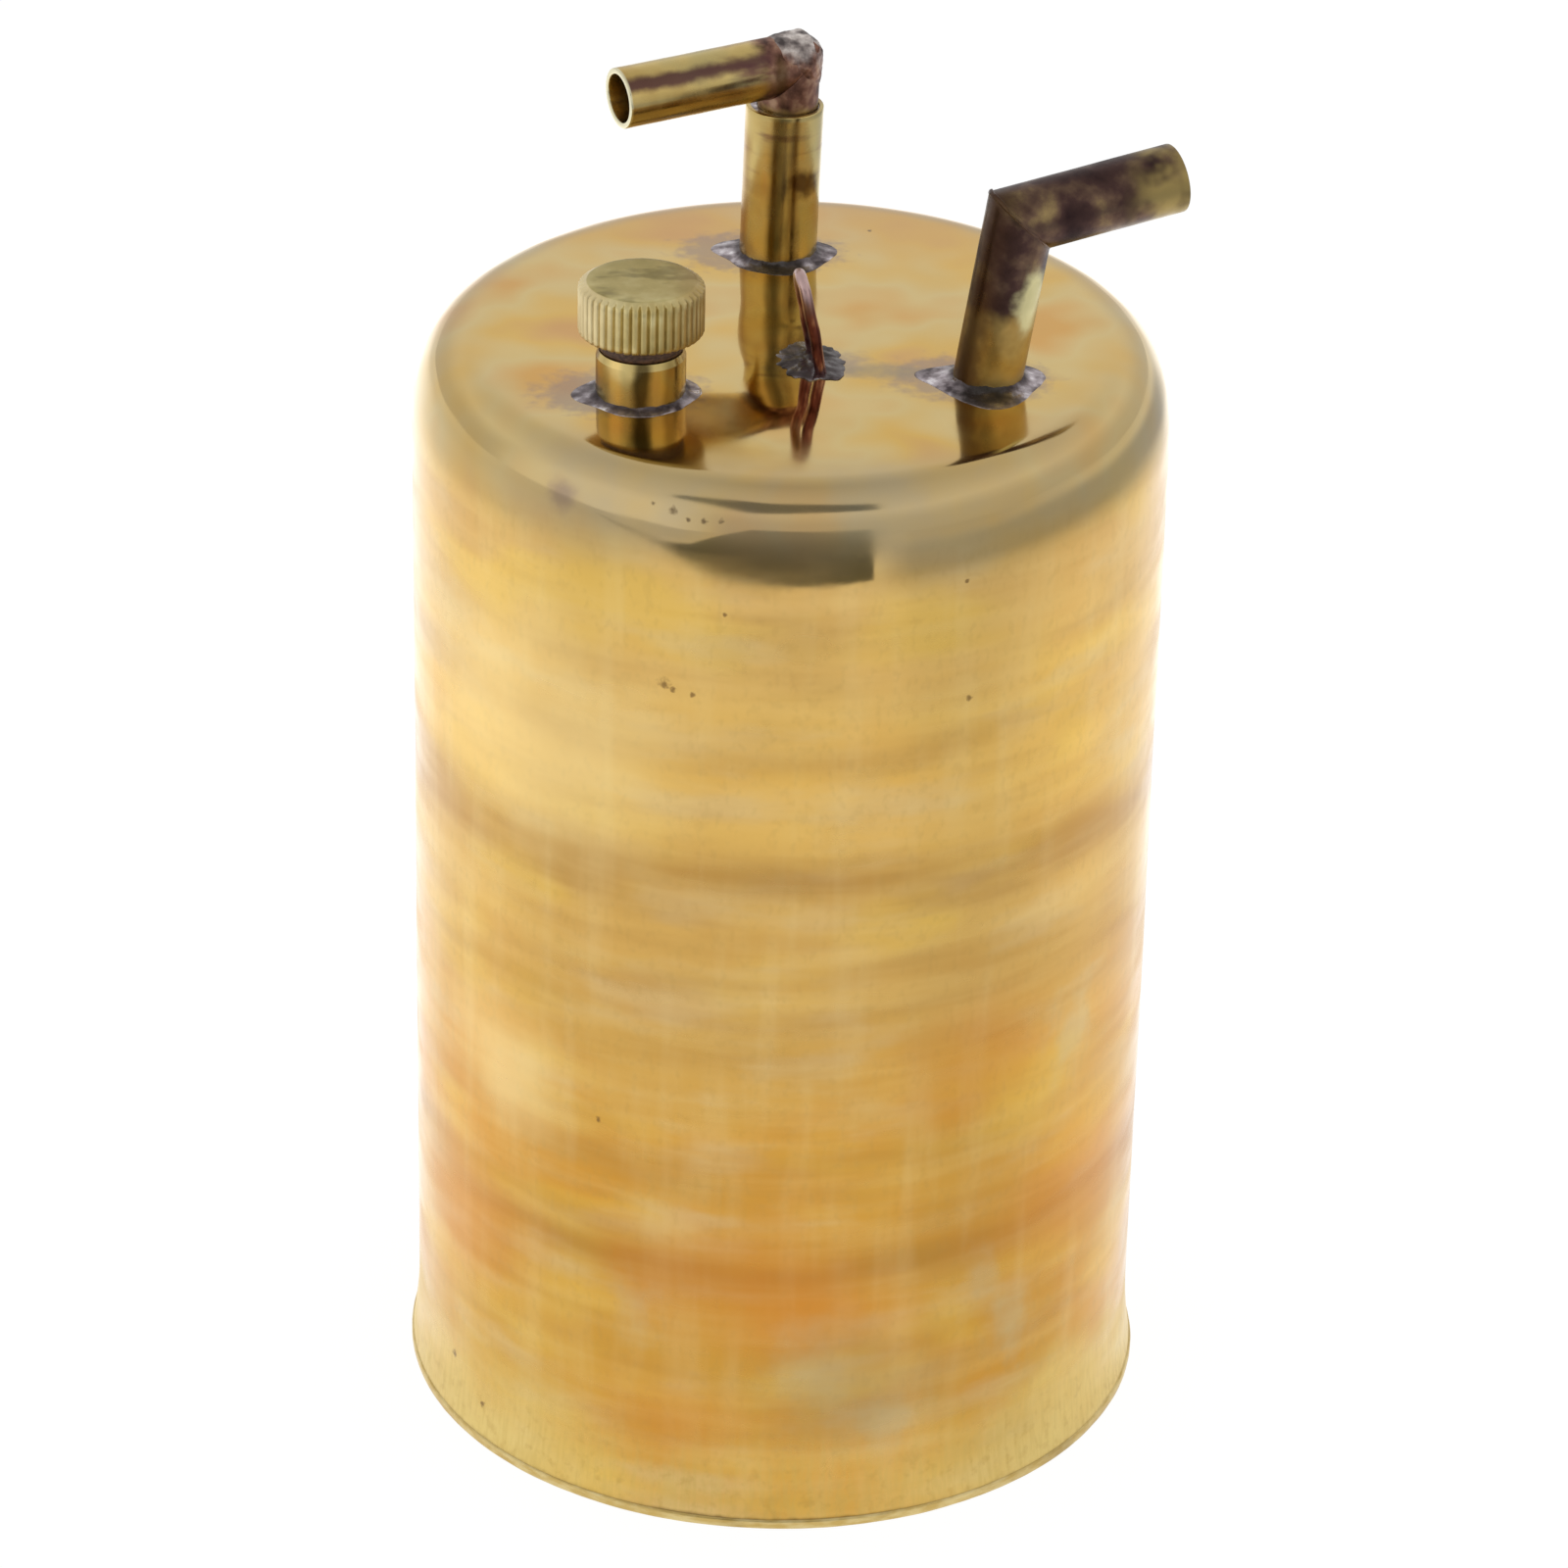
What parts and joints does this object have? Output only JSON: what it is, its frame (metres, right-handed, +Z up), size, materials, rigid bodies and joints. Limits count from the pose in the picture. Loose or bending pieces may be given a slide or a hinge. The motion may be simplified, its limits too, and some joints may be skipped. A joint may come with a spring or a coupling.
{
  "type": "torch fuel pot",
  "caption": "Tall brass fuel pot for a soldering torch: drawn tank with soldered base, knurled filler screw, angled air inlet and vapour outlet tubes, and a wire eye.",
  "frame": {"origin": "centre of the base disc's underside, on the surface the pot stands on", "axes": "+Z up along the tank's axis, +X towards the vapour outlet's side, +Y towards the air inlet"},
  "size_m": [0.0815, 0.0814, 0.1496],
  "materials": {
    "tank_brass": "polished, heat tinted",
    "base_brass": "worn, scratched",
    "tube_brass": "polished, streaked with heat tint",
    "oxidised_brass": "heat blackened, mottled",
    "cap_brass": "satin, tarnished",
    "solder": "rough solder and flux",
    "washer": "dark, matt",
    "wire": "oxidised copper"
  },
  "bodies": {
    "tank": {"tank_shell": "tank_brass", "base_plate": "base_brass", "base_seam_solder": "solder", "filler_neck": "tube_brass", "filler_neck_solder": "solder", "inlet_sleeve": "tube_brass", "inlet_dip_tube": "tube_brass", "inlet_spigot": "tube_brass", "inlet_elbow_solder": "solder", "inlet_sleeve_solder": "solder", "inlet_lid_solder": "solder", "outlet_riser": "oxidised_brass", "outlet_spigot": "oxidised_brass", "outlet_elbow_solder": "solder", "outlet_lid_solder": "solder", "wire_eye": "wire", "wire_eye_solder": "solder"},
    "washer": {"cap_washer": "washer"},
    "cap": {"filler_cap": "cap_brass"}
  },
  "joints": [
    {"name": "cap_travel", "type": "slide", "parent": "tank", "child": "washer", "axis": [0, 0, 1], "range_m": [0, 0.006]},
    {"name": "cap_turn", "type": "hinge", "parent": "washer", "child": "cap", "pos_m": [-0.0155, -0.0174, 0.1345], "axis": [0, 0, 1], "range_deg": [0, 2160]}
  ],
  "couplings": [
    {"joint": "cap_travel", "follows": "cap_turn", "m_per_rad": 0.00015915}
  ]
}
